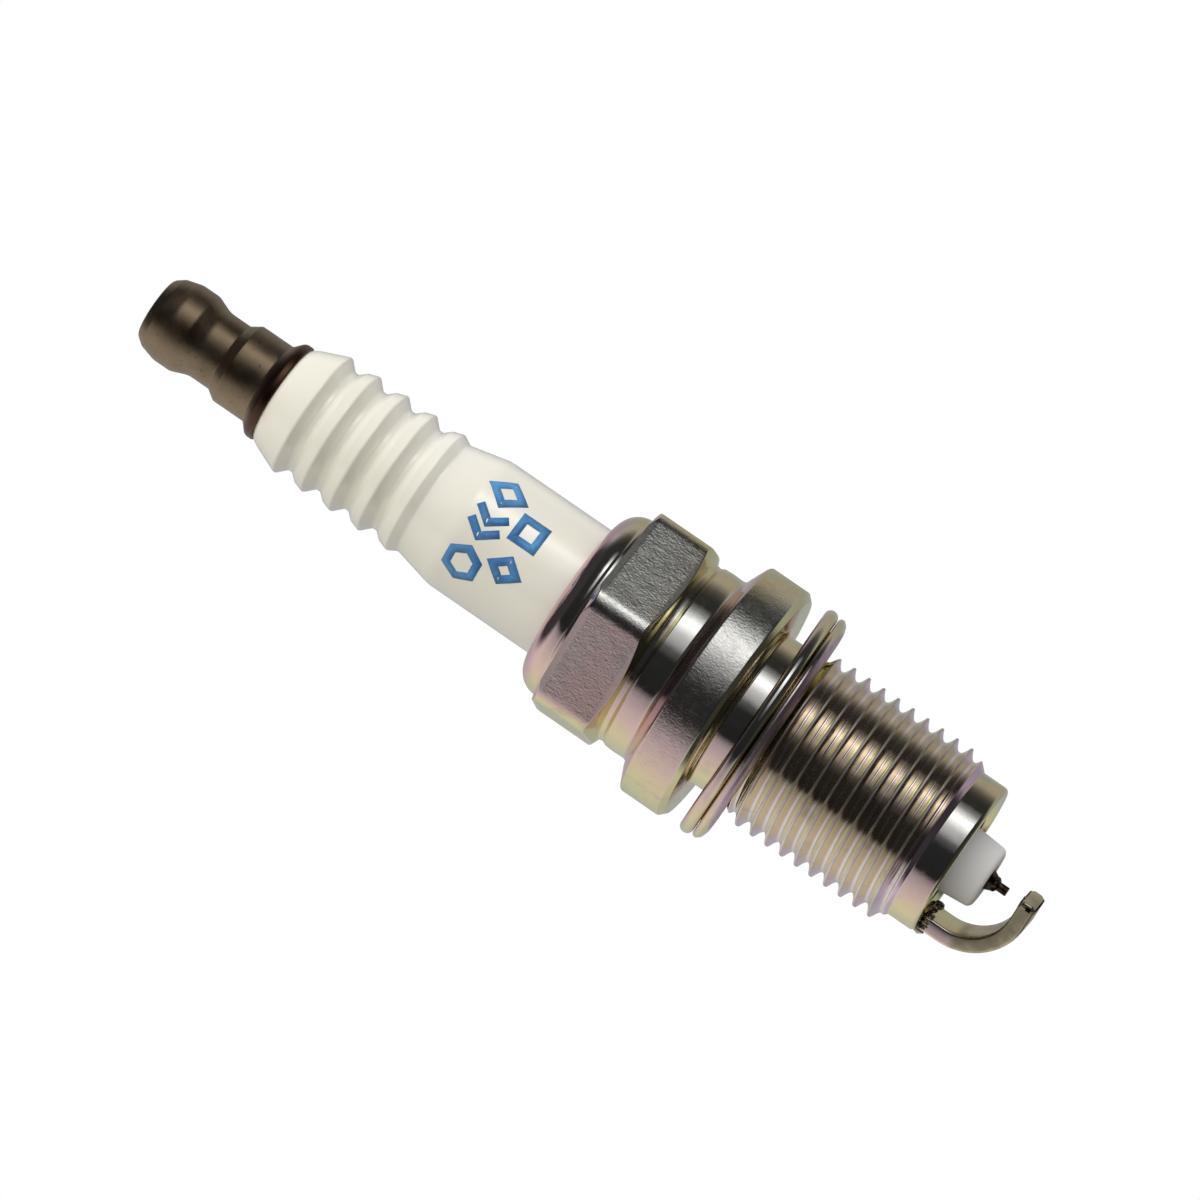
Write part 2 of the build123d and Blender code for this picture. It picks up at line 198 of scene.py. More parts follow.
def lathe(name, corners, material, node):
    """A turned piece that stands for a node of the plug."""
    points = outline(corners)
    piece = new_piece(name, revolve(lambda bearing: points), "plug", material)
    weigh_normals(piece)
    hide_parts(node)


# ---- steel shell --------------------------------------------------------------------------


def smooth_low(a, b, soft):
    """The lower of two values, blended where they are within soft of each other."""
    h = max(soft - abs(a - b), 0) / soft
    return min(a, b) - h * h * soft / 4


def smooth_high(a, b, soft):
    return -smooth_low(-a, -b, soft)


def hexagon_radius(bearing):
    """Radius of the hexagon's rounded outline at a bearing; a corner lies on bearing 0."""
    off_flat = (bearing % (TURN / 6)) - TURN / 12
    off_corner = TURN / 12 - abs(off_flat)
    middle = HEX_HALF - HEX_CORNER_ROUND
    round_from = TURN / 12 - math.atan(middle * math.tan(TURN / 12) / HEX_HALF)
    if off_corner > round_from:
        return HEX_HALF / math.cos(off_flat)
    centre = middle / math.cos(TURN / 12)
    aside = centre * math.sin(off_corner)
    return centre * math.cos(off_corner) + math.sqrt(HEX_CORNER_ROUND**2 - aside**2)


def thread_radius(bearing, z):
    """Radius of the threaded surface: a right-hand rolled thread between two cones, its flanks
    running hollow into a round root."""
    crest = THREAD_CREST_Z + THREAD_PITCH * (bearing / TURN - THREAD_CREST_BEARING / 360)
    off = (z - crest) / THREAD_PITCH
    # down runs from 0 at the crest's edge to 1 at the root
    down = max(abs(off - round(off)) * 2 - CREST_FLAT, 0) / (1 - CREST_FLAT)
    ridge = THREAD_R - (THREAD_R - THREAD_ROOT_R) * (1 - (1 - down) ** FLANK_HOLLOW)
    ridge = smooth_low(ridge, THREAD_R - 0.02, 0.05)
    ends = min(RELIEF_R + THREAD_TOP_Z - z, PILOT_R + z - THREAD_END_Z)
    ridge = smooth_low(ridge, ends, 0.12)
    if z > THREAD_TOP_Z:
        root = RELIEF_R
    elif z < THREAD_END_Z:
        root = PILOT_R
    else:
        root = min(THREAD_ROOT_R, ends)
    return smooth_high(root, ridge, 0.06) if ridge > root - 0.06 else root


def lip_arc(steps=20):
    """Points of the rolled lip, a quarter of a circle from its widest place to its top."""
    angles = [TURN / 4 * i / steps for i in range(steps + 1)]
    return [(LIP_ARC_R + LIP_ARC * math.cos(a), LIP_ARC_Z + LIP_ARC * math.sin(a)) for a in angles]


def shell_above(bearing):
    """The shell's profile from the relief below the seat, up the outside and over the lip."""
    hex_r = hexagon_radius(bearing)
    lip_r = LIP_ARC_R + LIP_ARC
    low = HEX_LOW + (hex_r - HEX_FOOT_R) * math.tan(math.radians(HEX_FOOT_SLOPE))
    high = HEX_HIGH - max(hex_r - HEX_SHOULDER_R, 0.01) * math.tan(math.radians(HEX_SHOULDER_SLOPE))
    return outline([
        (RELIEF_R, THREAD_TOP_Z + SHEET_OVERLAP),
        (RELIEF_R, 0, 0.4),
        (COLLAR_R - 0.45, 0, 0.12),
        (COLLAR_R, 0.45, 0.2),
        (COLLAR_R, COLLAR_TOP - 0.6, 0.3),
        (COLLAR_R - 1.3, COLLAR_TOP, 0.4),
        (NECK_R, COLLAR_TOP + 0.25, 0.5),
        (NECK_R + 0.04, 5.6, 0.6),
        (NECK_R, HEX_LOW - 0.75, 0.2),
        (NECK_R - 0.16, HEX_LOW - 0.45, 0.1),
        (NECK_R - 0.1, HEX_LOW - 0.1, 0.06),
        (HEX_FOOT_R, HEX_LOW, 0.04),
        (hex_r, low, 0.12),
        (hex_r, high, 0.12),
        (min(hex_r - 0.03, HEX_SHOULDER_R), HEX_HIGH, 0.1),
        (lip_r + 0.1, HEX_HIGH, 0.06),
        (lip_r + 0.08, LIP_ARC_Z - 0.1, 0.06),
        *lip_arc(),
        (LIP_INNER_R, LIP_TOP, 0.12),
        (LIP_INNER_R, LIP_TOP - 1.0, 0.2),
        (5.9, LIP_TOP - 1.1, 0.3),
        (BORE_R, BORE_TOP_Z),
    ])


def shell_below(bearing):
    """The shell's profile from inside the bore, round the end face and up the pilot."""
    return outline([
        (BORE_R, BORE_LOW_Z),
        (MIDDLE_BORE_R, 2.2),
        (MIDDLE_BORE_R, LEDGE_Z),
        (LEDGE_BORE_R, LEDGE_Z - 0.53),
        (LEDGE_BORE_R, LEDGE_Z - 2.5, 0.2),
        (NOSE_BORE_R, LEDGE_Z - 3.5, 0.2),
        (NOSE_BORE_R, -REACH + 0.35, 0.1),
        (NOSE_BORE_R + 0.35, -REACH, 0.1),
        (PILOT_R, -REACH, 0.35),
        (PILOT_R, THREAD_END_Z - SHEET_OVERLAP),
    ])


def make_shell(material):
    def inside(bearing):
        return [(BORE_R, BORE_TOP_Z), (BORE_R, BORE_LOW_Z)]

    mesh_builder = revolve(shell_below)
    revolve(shell_above, mesh_builder=mesh_builder)
    revolve(inside, mesh_builder=mesh_builder)
    thread_sheet(mesh_builder)
    piece = new_piece("steel_shell", mesh_builder, "plug", material)
    weigh_normals(piece)
    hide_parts("metal_shell")


def thread_sheet(mesh_builder):
    """The threaded surface, its rows following the helix so that each crest is a clean line."""
    rows = 26  # along one pitch
    low, high = THREAD_END_Z - SHEET_OVERLAP, THREAD_TOP_Z + SHEET_OVERLAP
    first = low - 1.5 * THREAD_PITCH
    turns = math.ceil((high - first) / THREAD_PITCH) + 1
    grid = []
    for i in range(turns * SEGMENTS + 1):
        bearing = TURN * i / SEGMENTS
        row = []
        for j in range(rows + 1):
            z = first + THREAD_PITCH * (i / SEGMENTS + j / rows)
            z = min(max(z, low), high)
            r = thread_radius(bearing, z)
            row.append(mesh_builder.verts.new((r * math.cos(bearing), r * math.sin(bearing), z)))
        grid.append(row)
    for here, there in zip(grid, grid[1:]):
        for j in range(rows):
            heights = {round(v.co.z, 6) for v in (here[j], here[j + 1], there[j], there[j + 1])}
            if len(heights) > 1:
                mesh_builder.faces.new((here[j], there[j], there[j + 1], here[j + 1]))


# ---- insulator, terminal ------------------------------------------------------------------


def insulator_corners():
    corners = [
        (ELECTRODE_BORE_R, -20.0),
        (ELECTRODE_BORE_R, NOSE_Z, 0.12),
        (NOSE_R, NOSE_Z, 0.5),
        (NOSE_R + 0.2, -REACH, 0.5),
        (3.35, -7.0, 0.5),
        (MIDDLE_R, LEDGE_Z + 0.3, 0.3),
        (MIDDLE_R, MIDDLE_TOP_Z, 0.4),
        (FLANGE_R, FLANGE_LOW_Z, 0.4),
        (FLANGE_R, FLANGE_TOP_Z, 0.3),
        (BARREL_R, FLANGE_TOP_Z + 0.05, 0.3),
        (BARREL_R, BARREL_TOP, 4.0),
    ]
    for rib in reversed(range(RIBS)):
        z = TOP_RIB_Z - rib * RIB_PITCH
        valley = VALLEY_R + (LAST_VALLEY_FILL if rib == RIBS - 1 else 0)
        corners += [(valley, z - 0.86, 0.3), (RIB_R, z - 0.12, 0.22)]
        if rib:
            corners += [(RIB_R - 0.26, z + 0.66, 0.4), (VALLEY_R, z + 1.2, 0.3)]
    return corners + [
        (NECK_TOP_R + 0.15, NECK_TOP_Z - 0.6, 0.5),
        (NECK_TOP_R - 0.2, NECK_TOP_Z, 0.12),
        (1.95, NECK_TOP_Z),
    ]


def terminal_corners():
    return [
        (STEM_R, STEM_LOW_Z),
        (STEM_R, NECK_TOP_Z, 0.1),
        (FOOT_R, NECK_TOP_Z, 0.12),
        (FOOT_R, NECK_TOP_Z + 0.6, 0.5),
        (HEAD_R, NECK_TOP_Z + 1.25, 0.3),
        (HEAD_R, 43.1, 0.25),
        (WAIST_R, 43.85, 0.3),
        (WAIST_R, 45.6, 1.6),
        (HEAD_R, 46.9, 1.0),
        (HEAD_R, 48.3, 1.5),
        (HEAD_R - 0.33, TERMINAL_Z - 0.7, 0.6),
        (HEAD_R - 0.85, TERMINAL_Z, 0.5),
        (1.2, TERMINAL_Z, 0.3),
        (0, TERMINAL_Z - 0.06),
    ]


# ---- firing end ---------------------------------------------------------------------------


def make_sheath(material):
    """The centre electrode's tapered end, with the uneven bead that welds the fine tip to it."""
    smooth = outline([
        (SHEATH_R, -REACH),
        (SHEATH_R, NOSE_Z + 0.3, 0.05),
        (0.82, NOSE_Z - 0.02, 0.15),
        (TIP_R + 0.2, NOSE_Z - 0.42, 0.15),
        (TIP_R + 0.2, TIP_ROOT_Z + 0.1, 0.12),
        (TIP_R + 0.02, TIP_ROOT_Z - 0.06, 0.05),
        (0, TIP_ROOT_Z - 0.06),
    ])
    bead_top = NOSE_Z - 0.3

    def lumpy(bearing):
        points = []
        for r, z in smooth:
            at = Vector((math.cos(bearing), math.sin(bearing), z * 2.2)) * 1.6
            lump = BEAD_LUMP * noise.noise(at) if z < bead_top else 0.0
            points.append((r * (1 + lump), z))
        return points

    piece = new_piece("electrode_sheath", revolve(lumpy, segments=120), "plug", material)
    weigh_normals(piece)
    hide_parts("centre_electrode")


def strap_path():
    """Middle line of the strap in the XZ plane, from the shell's end round to its tip, with
    the strap's outward normal at each point."""
    half = STRAP_T / 2
    low = TIP_Z - SPARK_GAP - CHIP_PROUD - STRAP_T
    centre = Vector((STRAP_BEND_R - STRAP_OUTER_R, low + STRAP_BEND_R))
    bend = STRAP_BEND_R - half
    path = []
    top = -REACH + STRAP_LEAD
    for step in range(7):
        z = top + (centre.y - top) * step / 6
        path.append((Vector((half - STRAP_OUTER_R, z)), Vector((-1, 0))))
    for step in range(1, 33):
        angle = math.pi + math.pi / 2 * step / 32
        out = Vector((math.cos(angle), math.sin(angle)))
        path.append((centre + out * bend, out))
    for step in range(1, 9):
        x = centre.x + (STRAP_OVERHANG - centre.x) * step / 8
        path.append((Vector((x, low + half)), Vector((0, -1))))
    return path


def make_strap(material):
    """The ground strap: a rounded rectangular section along its path, its end cut square with
    the outer edges worn round."""
    section = outline([
        (-STRAP_W / 2, -STRAP_T / 2, 0.2),
        (STRAP_W / 2, -STRAP_T / 2, 0.2),
        (STRAP_W / 2, STRAP_T / 2, 0.3),
        (-STRAP_W / 2, STRAP_T / 2, 0.3),
    ], closed=True, steps=5)
    mesh_builder = bmesh.new()
    rings = []
    path = strap_path()
    end = len(path) - 1
    # each section is a place on the path, how far back from it, and how much smaller it is
    cuts = [(i, 0.0, 0.0) for i in range(end)]
    cuts += [(end, back, shrink) for back, shrink in WORN_END]
    for i, back, shrink in cuts:
        at, out = path[i]
        ahead = Vector((-out.y, out.x)) if i < end else Vector((1, 0))
        ring = []
        for across, outward in section:
            keep = 1 - shrink / (STRAP_T / 2)
            place = at + out * outward * keep - ahead * back
            ring.append(mesh_builder.verts.new((place.x, across * (1 - shrink / STRAP_W), place.y)))
        rings.append(ring)
    count = len(section)
    for here, there in zip(rings, rings[1:]):
        for j in range(count):
            k = (j + 1) % count
            mesh_builder.faces.new((here[j], there[j], there[k], here[k]))
    mesh_builder.faces.new(rings[0])
    mesh_builder.faces.new(rings[-1])
    piece = new_piece("ground_strap", mesh_builder, "plug", material)
    weigh_normals(piece)
    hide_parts("ground_electrode")


def make_weld_flash(material):
    """The crust of small beads squeezed out round the strap's foot when it was welded on."""
    draw = random.Random(5)
    half_w, inner_x, outer_x = STRAP_W / 2, STRAP_T - STRAP_OUTER_R, -STRAP_OUTER_R
    corners = [(inner_x, -half_w), (outer_x, -half_w), (outer_x, half_w), (inner_x, half_w)]
    mesh_builder = bmesh.new()
    for (x0, y0), (x1, y1) in zip(corners, corners[1:] + corners[:1]):
        for i in range(BEADS_A_SIDE):
            along = (i + draw.random()) / BEADS_A_SIDE
            size = draw.uniform(BEAD_SMALLEST, BEAD_LARGEST)
            place = Vector((
                x0 + (x1 - x0) * along + draw.uniform(-BEAD_STRAY, BEAD_STRAY),
                y0 + (y1 - y0) * along + draw.uniform(-BEAD_STRAY, BEAD_STRAY),
                -REACH - draw.uniform(0.0, 0.5),
            ))
            made = bmesh.ops.create_icosphere(mesh_builder, subdivisions=3, radius=size)
            for vert in made["verts"]:
                lump = 0.35 * noise.noise(vert.co * 6.0 + place * 3.0)
                vert.co = Vector((vert.co.x, vert.co.y, vert.co.z * 1.3)) * (1 + lump) + place
    piece = new_piece("weld_flash", mesh_builder, "plug", material)


# ---- gasket -------------------------------------------------------------------------------


def tab_reach(bearing):
    """Radius of the upper sheet's inner edge, which reaches further in at each tab."""
    apart = TURN / TABS
    off = (bearing - TURN / 8 + apart / 2) % apart - apart / 2
    return TAB_REACH_R if abs(off) * TAB_REACH_R < TAB_W / 2 else GASKET_INNER_R


def sheet_line(bearing):
    """Middle line of the folded sheet, as radius and height about the gasket's middle."""
    return outline([
        (tab_reach(bearing), SHEET_HIGH),
        (GASKET_INNER_R + 0.1, SHEET_HIGH),
        (GASKET_R, SHEET_HIGH, 0.3),
        (GASKET_R, SHEET_MIDDLE, 0.33),
        (GASKET_FOLD_R, SHEET_MIDDLE, 0.21),
        (GASKET_FOLD_R, -SHEET_MIDDLE, 0.21),
        (GASKET_R, -SHEET_MIDDLE, 0.18),
        (GASKET_R - 0.35, -0.56, 0.3),
        (8.4, -0.72, 0.8),
        (GASKET_INNER_R, SHEET_LOW),
    ], steps=8)


def sheet_section(bearing):
    line = sheet_line(bearing)
    outer, inner = [], []
    for i, point in enumerate(line):
        ahead = line[min(i + 1, len(line) - 1)] - line[max(i - 1, 0)]
        side = Vector((-ahead.y, ahead.x)).normalized() * (SHEET_T / 2)
        outer.append(point + side)
        inner.append(point - side)
    return outer + inner[::-1]


def make_gasket(material):
    piece = new_piece("folded_gasket", revolve(sheet_section, True), "gasket", material)
    lean_axis = Euler((0, 0, math.radians(GASKET_LOW_BEARING + 90))).to_matrix() @ Vector((1, 0, 0))
    place = Matrix.Translation((0, 0, GASKET_Z * MM))
    piece.data.transform(place @ Matrix.Rotation(math.radians(GASKET_LEAN), 4, lean_axis))
    weigh_normals(piece)
    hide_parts("gasket")


# ---- printed marks ------------------------------------------------------------------------


def stroke(mesh_builder, path, closed, u0, v0):
    """A printed stroke: a ribbon of even width along a path on the barrel's surface."""
    points = [Vector(p) for p in path]
    if closed:
        points.append(points[0])
    fine = []
    for start, end in zip(points, points[1:]):
        pieces = max(1, math.ceil((end - start).length / INK_STEP))
        fine += [start + (end - start) * i / pieces for i in range(pieces)]
    if not closed:
        fine.append(points[-1])
    rings = []
    last = len(fine) - 1
    for i, point in enumerate(fine):
        before = fine[i - 1] if closed or i else point
        after = fine[(i + 1) % len(fine)] if closed or i < last else point
        back, ahead = (point - before), (after - point)
        back = back.normalized() if back.length else ahead.normalized()
        ahead = ahead.normalized() if ahead.length else back
        along = (back + ahead).normalized()
        side = Vector((-along.y, along.x)) * (INK_STROKE / 2 / max(along.dot(ahead), 0.5))
        ring = []
        for across, r in ((-1, -INK_PROUD), (-1, INK_PROUD), (1, INK_PROUD), (1, -INK_PROUD)):
            u, v = point + side * across
            bearing = math.radians(CAMERA_BEARING) - (u + u0) / BARREL_R
            r += BARREL_R
            place = (r * math.cos(bearing), r * math.sin(bearing), v + v0)
            ring.append(mesh_builder.verts.new(place))
        rings.append(ring)
    pairs = list(zip(rings, rings[1:]))
    if closed:
        pairs.append((rings[-1], rings[0]))
    else:
        mesh_builder.faces.new(rings[0])
        mesh_builder.faces.new(rings[-1])
    for here, there in pairs:
        for j in range(4):
            k = (j + 1) % 4
            mesh_builder.faces.new((here[j], there[j], there[k], here[k]))


def make_marks(material):
    """Two rows of plain figures, not lettering: a diamond, two chevrons and a hexagon, over a
    square and a smaller diamond."""
    diamond = [(-1.0, 0.0), (0.0, -1.2), (1.0, 0.0), (0.0, 1.2)]
    chevron = [(-0.45, -1.2), (0.45, 0.0), (-0.45, 1.2)]
    hexagon = [(1.2 * math.cos(TURN * i / 6), 1.2 * math.sin(TURN * i / 6)) for i in range(6)]
    square = [(-0.85, -0.85), (0.85, -0.85), (0.85, 0.85), (-0.85, 0.85)]
    small_diamond = [(-0.8, 0.0), (0.0, -1.0), (0.8, 0.0), (0.0, 1.0)]
    signs = [
        (diamond, True, -3.45, UPPER_ROW_Z),
        (chevron, False, -1.2, UPPER_ROW_Z),
        (chevron, False, -0.05, UPPER_ROW_Z),
        (hexagon, True, 2.75, UPPER_ROW_Z),
        (square, True, -1.75, LOWER_ROW_Z),
        (small_diamond, True, 1.4, LOWER_ROW_Z),
    ]
    mesh_builder = bmesh.new()
    for path, closed, u0, v0 in signs:
        stroke(mesh_builder, path, closed, u0, v0)
    piece = new_piece("printed_marks", mesh_builder, "plug", material)


# ---- materials ----------------------------------------------------------------------------


class Nodes:
    """Short ways to add shader nodes to a tree and join them."""

    def __init__(self, tree):
        self.tree = tree

    def node(self, kind, settings=None, **inputs):
        made = self.tree.nodes.new(kind)
        for key, value in (settings or {}).items():
            setattr(made, key, value)
        for key, value in inputs.items():
            self.feed(made.inputs[key.replace("_", " ")], value)
        return made

    def feed(self, socket, value):
        if isinstance(value, bpy.types.NodeSocket):
            self.tree.links.new(value, socket)
        else:
            socket.default_value = value

    def math(self, operation, *values):
        made = self.node("ShaderNodeMath", {"operation": operation})
        for socket, value in zip(made.inputs, values):
            self.feed(socket, value)
        return made.outputs[0]

    def axes(self, vector):
        return self.node("ShaderNodeSeparateXYZ", Vector=vector).outputs

    def span(self, value, low, high, to_low=0.0, to_high=1.0):
        """value taken from low..high to to_low..to_high, with smooth ends."""
        made = self.node("ShaderNodeMapRange", {"interpolation_type": "SMOOTHSTEP"}, Value=value)
        for name, number in zip(("From Min", "From Max", "To Min", "To Max"),
                                (low, high, to_low, to_high)):
            made.inputs[name].default_value = number
        return made.outputs[0]

    def window(self, value, low, high, soft):
        """1 between low and high, 0 outside, with a smooth edge of width soft."""
        rise = self.span(value, low - soft / 2, low + soft / 2)
        return self.math("MULTIPLY", rise, self.span(value, high - soft / 2, high + soft / 2, 1.0, 0.0))

    def ramp(self, value, stops):
        """A colour by value, from stops given as (value, colour) in rising order."""
        low, high = stops[0][0], stops[-1][0]
        made = self.node("ShaderNodeValToRGB", Fac=self.span_linear(value, low, high))
        elements = made.color_ramp.elements
        while len(elements) < len(stops):
            elements.new(0.5)
        for element, (at, tone) in zip(elements, stops):
            element.position = (at - low) / (high - low)
            element.color = tone
        return made.outputs[0]

    def span_linear(self, value, low, high):
        made = self.node("ShaderNodeMapRange", Value=value)
        made.inputs["From Min"].default_value = low
        made.inputs["From Max"].default_value = high
        return made.outputs[0]

    def mix(self, factor, first, second, blend="MIX"):
        made = self.tree.nodes.new("ShaderNodeMix")
        made.data_type = "RGBA"
        made.blend_type = blend
        colours = [s for s in made.inputs if s.type == "RGBA"]
        self.feed(made.inputs["Factor"], factor)
        self.feed(colours[0], first)
        self.feed(colours[1], second)
        return next(s for s in made.outputs if s.type == "RGBA")


class Material(Nodes):
    """A node material with one Principled shader."""

    def __init__(self, name):
        self.material = bpy.data.materials.new(name)
        self.material.use_nodes = True
        super().__init__(self.material.node_tree)
        self.shader = self.tree.nodes["Principled BSDF"]
        self.place = self.node("ShaderNodeTexCoord").outputs["Object"]

    def set(self, **inputs):
        for key, value in inputs.items():
            self.feed(self.shader.inputs[key.replace("_", " ")], value)

    def scaled(self, x, y, z):
        """The object's own coordinates, multiplied axis by axis."""
        return self.node("ShaderNodeMapping", Vector=self.place, Scale=(x, y, z)).outputs[0]

    def millimetres(self):
        """Radius from the plug's axis and height along it."""
        x, y, z = self.axes(self.scaled(1000, 1000, 1000))
        squares = self.math("ADD", self.math("MULTIPLY", x, x), self.math("MULTIPLY", y, y))
        return self.math("SQRT", squares), z

    def noise(self, vector, scale, detail=3.0, roughness=0.55):
        made = self.node("ShaderNodeTexNoise", Vector=vector, Scale=scale, Detail=detail,
                         Roughness=roughness)
        return made.outputs["Fac"]

    def bump(self, height, distance_mm, strength=1.0, normal=None):
        made = self.node("ShaderNodeBump", Height=height, Distance=distance_mm * MM,
                         Strength=strength)
        if normal:
            self.feed(made.inputs["Normal"], normal)
        return made.outputs[0]


def colour(r, g, b):
    """A linear colour from 8-bit display values."""
    def linear(value):
        return ((value / 255 + 0.055) / 1.055) ** 2.4 if value > 10 else value / 3294.6

    return (linear(r), linear(g), linear(b), 1)


def plating_tint_and_painted_sheen(m):
    """The plating's faint rainbow, partly its own hue and partly a painted iridescent sheen: round the
    plug the hue follows how each face turns from the camera, neutral where it faces the camera and
    yellow-green where it is seen edge-on. Pink towards the terminal and on the strap's side,
    yellow-green on rims and towards the firing end."""
    normal = m.axes(m.node("ShaderNodeNewGeometry").outputs["Normal"])
    # painted sheen: round the plug the hue is set by which way each face turns across the camera's view,
    # neutral facing it and yellow-green edge-on at either side
    edge_on_bearing = math.radians(CAMERA_BEARING - 90)
    side = m.math("ADD", m.math("MULTIPLY", normal[0], math.cos(edge_on_bearing)),
                  m.math("MULTIPLY", normal[1], math.sin(edge_on_bearing)))
    drift = m.noise(m.scaled(150, 150, 230), 1.0, 2.0)
    side = m.math("ADD", side, m.math("MULTIPLY", m.math("SUBTRACT", drift, 0.5), 0.5))
    round_the_plug = m.ramp(side, [
        (-1.1, colour(210, 218, 168)),
        (-0.9, colour(218, 200, 156)),
        (-0.55, colour(214, 214, 208)),
        (0.2, colour(216, 212, 210)),
        (0.5, colour(226, 196, 194)),
        (0.68, colour(226, 198, 184)),
        (0.8, colour(226, 206, 170)),
        (0.92, colour(220, 212, 164)),
        (1.1, colour(208, 216, 166)),
    ])
    up = m.mix(m.span(normal[2], 0.25, 0.9, 0.0, 0.85), round_the_plug, colour(224, 180, 190))
    return m.mix(m.span(normal[2], -0.9, -0.25, 0.85, 0.0), up, colour(208, 208, 134))


def thread_tint(m):
    """On the thread each colour is met two or three times over, as the flanks mirror each other:
    yellow on the flanks that face the terminal, violet on the others, bare on the crests."""
    across = m.axes(m.node("ShaderNodeNewGeometry").outputs["Normal"])[2]
    tint = m.mix(m.span(across, 0.15, 0.75), colour(230, 220, 216), colour(240, 244, 182))
    return m.mix(m.span(across, -0.75, -0.15, 1.0, 0.0), tint, colour(214, 186, 206))


def plating():
    """Zinc plating: bright on the turned and rolled surfaces, finely pitted on the collar's
    wall and the hexagon's flats, which are left as they were drawn."""
    m = Material("bright_plating")
    radius, height = m.millimetres()
    collar = m.math("MULTIPLY", m.window(height, 0.5, COLLAR_TOP - 0.7, 0.3),
                    m.span(radius, COLLAR_R - 0.1, COLLAR_R - 0.04))
    flats = m.math("MULTIPLY", m.window(height, HEX_LOW + 0.6, HEX_HIGH - 0.45, 0.3),
                   m.span(radius, HEX_HALF - 0.15, HEX_HALF - 0.05))
    drawn = m.math("ADD", collar, flats)
    rolled = m.window(height, THREAD_END_Z, THREAD_TOP_Z, 0.2)
    crests = m.math("MULTIPLY", rolled, m.span(radius, THREAD_R - 0.14, THREAD_R - 0.05))
    lines = m.noise(m.scaled(60, 60, 4600), 1.0, 2.0, 0.5)
    specks = m.noise(m.scaled(6400, 6400, 4000), 1.0, 3.0, 0.6)
    waves = m.noise(m.scaled(1, 1, 1), 1400.0, 3.0, 0.5)
    blotch = m.noise(m.scaled(1, 1, 1), 420.0, 5.0, 0.6)
    haze = m.noise(m.scaled(1, 1, 1), 1500.0, 4.0, 0.65)
    dull = m.span(blotch, 0.52, 0.72, 0.0, 0.45)
    # off the thread the base colour carries the plating's hue with its painted sheen
    tint = m.mix(rolled, plating_tint_and_painted_sheen(m), thread_tint(m))
    m.set(Base_Color=m.mix(dull, tint, colour(178, 172, 168)), Metallic=1.0)
    smooth = m.span(haze, 0.4, 0.75, 0.07, 0.2)
    worn = m.math("ADD", m.math("MULTIPLY", drawn, 0.12), m.math("MULTIPLY", crests, 0.3))
    m.set(Roughness=m.math("ADD", smooth, worn))
    normal = m.bump(haze, 0.008, 0.6)
    normal = m.bump(m.math("MULTIPLY", lines, rolled), 0.03, 1.0, normal)
    normal = m.bump(m.math("MULTIPLY", waves, drawn), 0.016, 1.0, normal)
    m.set(Normal=m.bump(m.math("MULTIPLY", specks, drawn), 0.022, 1.0, normal))
    return m.material


def glaze():
    """Ivory glazed porcelain, and bare matt ceramic at the nose."""
    m = Material("glazed_ceramic")
    height = m.millimetres()[1]
    bare = m.span(height, *GLAZE_ENDS_Z, 1.0, 0.0)
    broad = m.noise(m.scaled(1, 1, 1), 160.0, 2.0)
    fine = m.noise(m.scaled(1, 1, 1), 2600.0, 3.0)
    ivory = m.mix(m.span(broad, 0.3, 0.7), colour(248, 244, 232), colour(244, 239, 224))
    m.set(Base_Color=m.mix(bare, ivory, colour(232, 230, 228)))
    m.set(Roughness=m.span(m.math("ADD", bare, m.math("MULTIPLY", fine, 0.1)), 0.0, 1.1, 0.14, 0.75))
    m.set(Coat_Weight=m.span(bare, 0.0, 1.0, 0.9, 0.0), Coat_Roughness=0.12, Coat_IOR=1.76)
    m.set(Normal=m.bump(broad, 0.05, 0.5, m.bump(fine, 0.004, 0.5)))
    return m.material


def ink():
    """Blue ink fired onto the glaze, thinner in places."""
    m = Material("blue_ink")
    thin = m.noise(m.scaled(1, 1, 1), 1800.0, 4.0, 0.6)
    broad = m.noise(m.scaled(1, 1, 1), 350.0, 2.0)
    blue = m.mix(m.span(broad, 0.35, 0.65), colour(84, 150, 204), colour(62, 118, 176))
    m.set(Base_Color=m.mix(m.span(thin, 0.55, 0.8, 0.0, 0.35), blue, colour(128, 172, 206)))
    m.set(Roughness=m.span(thin, 0.3, 0.7, 0.22, 0.4), Normal=m.bump(thin, 0.004, 0.5))
    return m.material


def dark_bronze():
    """The terminal's dark baked nickel, with fine rings left by turning."""
    m = Material("dark_terminal")
    turned = m.noise(m.scaled(60, 60, 5200), 1.0, 4.0, 0.6)
    patch = m.noise(m.scaled(1, 1, 1), 380.0, 4.0, 0.6)
    fine = m.noise(m.scaled(1, 1, 1), 2600.0, 3.0)
    height = m.millimetres()[1]
    tone = m.mix(m.span(patch, 0.3, 0.7), colour(132, 114, 92), colour(156, 138, 114))
    tone = m.mix(m.span(fine, 0.6, 0.75, 0, 0.6), tone, colour(84, 70, 58))
    foot = m.span(height, NECK_TOP_Z + 0.7, NECK_TOP_Z + 1.2, 0.8, 0.0)
    m.set(Base_Color=m.mix(foot, tone, colour(74, 44, 36)), Metallic=1.0)
    m.set(Roughness=m.span(patch, 0.3, 0.8, 0.32, 0.46))
    m.set(Normal=m.bump(turned, 0.01, 0.6, m.bump(fine, 0.008, 0.7)))
    return m.material


